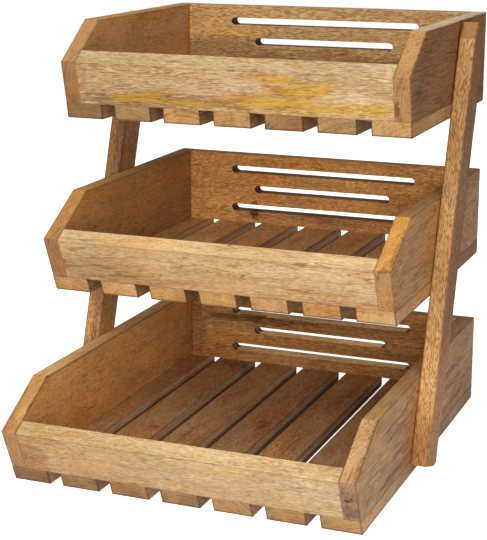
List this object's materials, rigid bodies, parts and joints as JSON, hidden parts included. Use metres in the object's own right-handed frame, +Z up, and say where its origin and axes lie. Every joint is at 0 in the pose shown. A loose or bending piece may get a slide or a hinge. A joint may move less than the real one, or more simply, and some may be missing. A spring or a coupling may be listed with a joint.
{
  "type": "tiered buffet display stand",
  "caption": "Wooden tiered buffet display stand: open slatted trays stepped back one above another, with raked fronts and slotted back boards, carried between leaning uprights.",
  "frame": {"origin": "middle of the stand's footprint, on the table under the bottom tray", "axes": "+Z up, +Y from the trays' stepped fronts to their common back, +X to the right seen from the front"},
  "size_m": [0.438, 0.482, 0.486],
  "materials": {
    "front_board_wood": "oiled, satin",
    "back_board_wood": "oiled, satin",
    "side_wood": "oiled, satin",
    "slat_wood": "oiled, satin",
    "upright_wood": "oiled, satin",
    "joint_wood": "bare, glued",
    "screw_steel": "yellow zinc plated"
  },
  "bodies": {
    "root": {"bottom_left_side": "side_wood", "bottom_right_side": "side_wood", "bottom_front_board": "front_board_wood", "bottom_back_board": "back_board_wood", "bottom_corner_tenons": "joint_wood", "bottom_slat_1": "slat_wood", "bottom_slat_2": "slat_wood", "bottom_slat_3": "slat_wood", "bottom_slat_4": "slat_wood", "bottom_slat_5": "slat_wood", "bottom_slat_6": "slat_wood", "bottom_slat_7": "slat_wood", "middle_left_side": "side_wood", "middle_right_side": "side_wood", "middle_front_board": "front_board_wood", "middle_back_board": "back_board_wood", "middle_corner_tenons": "joint_wood", "middle_slat_1": "slat_wood", "middle_slat_2": "slat_wood", "middle_slat_3": "slat_wood", "middle_slat_4": "slat_wood", "middle_slat_5": "slat_wood", "middle_slat_6": "slat_wood", "middle_slat_7": "slat_wood", "top_left_side": "side_wood", "top_right_side": "side_wood", "top_front_board": "front_board_wood", "top_back_board": "back_board_wood", "top_corner_tenons": "joint_wood", "top_slat_1": "slat_wood", "top_slat_2": "slat_wood", "top_slat_3": "slat_wood", "top_slat_4": "slat_wood", "top_slat_5": "slat_wood", "top_slat_6": "slat_wood", "top_slat_7": "slat_wood", "left_upright": "upright_wood", "left_upright_dowels": "joint_wood", "right_upright": "upright_wood", "right_upright_dowels": "joint_wood"}
  },
  "joints": []
}
